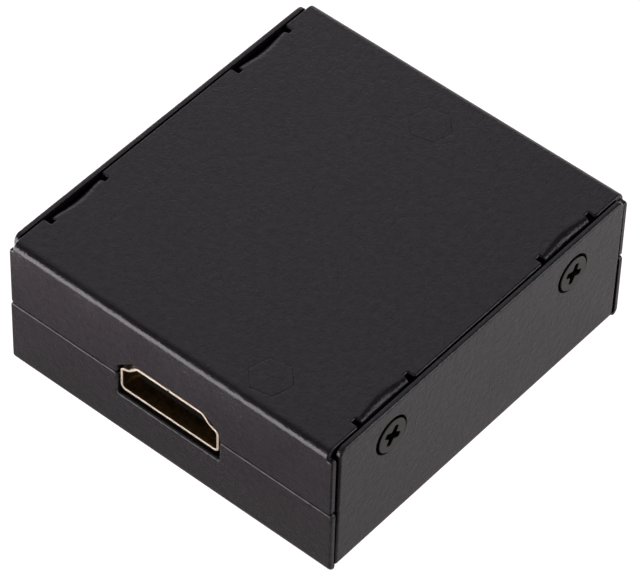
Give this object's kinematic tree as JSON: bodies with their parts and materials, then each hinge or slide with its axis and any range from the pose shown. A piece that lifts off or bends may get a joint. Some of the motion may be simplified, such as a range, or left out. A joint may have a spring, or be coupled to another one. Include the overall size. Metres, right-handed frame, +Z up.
{
  "type": "hdmi splitter",
  "caption": "Small flat video splitter in a folded dark sheet-metal case, with a plug receptacle in front, receptacles at the rear and a power jack in one side.",
  "frame": {"origin": "middle of the flat underside on which the case lies in the picture", "axes": "+Z up through the plate that carries the board, -Y out of the input's face, +X towards the plain side plate"},
  "size_m": [0.0484, 0.052, 0.02],
  "materials": {
    "coated_sheet": "fine dark grey powder coat",
    "screw_steel": "dark zinc plated",
    "post_steel": "bright zinc plated",
    "shell_plate": "thin pale gold plating",
    "contact_plate": "gold plating",
    "housing_plastic": "moulded black",
    "board_laminate": "green solder mask",
    "chip_plastic": "moulded black epoxy",
    "tin_lead": "matt tin",
    "can_metal": "drawn can",
    "ceramic_part": "fired ceramic",
    "ferrite_part": "pressed ferrite",
    "lamp_resin": "clear red resin"
  },
  "bodies": {
    "root": {"upper_shell": "coated_sheet", "lower_shell": "coated_sheet", "case_screws": "screw_steel", "board_standoffs": "post_steel", "board_screws": "post_steel", "circuit_board": "board_laminate", "jack_body": "housing_plastic", "jack_pin": "tin_lead", "jack_spring": "tin_lead", "splitter_chip": "chip_plastic", "splitter_leads": "tin_lead", "memory_chip": "chip_plastic", "memory_leads": "tin_lead", "clock_crystal": "can_metal", "regulator": "chip_plastic", "regulator_leads": "tin_lead", "filter_coil": "ferrite_part", "capacitor_cans": "can_metal", "capacitor_bases": "housing_plastic", "ceramic_capacitors": "ceramic_part", "resistors": "chip_plastic", "surge_arrays": "chip_plastic", "status_lamp": "lamp_resin", "lamp_legs": "tin_lead", "input_shell": "shell_plate", "input_housing": "housing_plastic", "input_contacts": "contact_plate", "output_left_shell": "shell_plate", "output_left_housing": "housing_plastic", "output_left_contacts": "contact_plate", "output_right_shell": "shell_plate", "output_right_housing": "housing_plastic", "output_right_contacts": "contact_plate"}
  },
  "joints": []
}
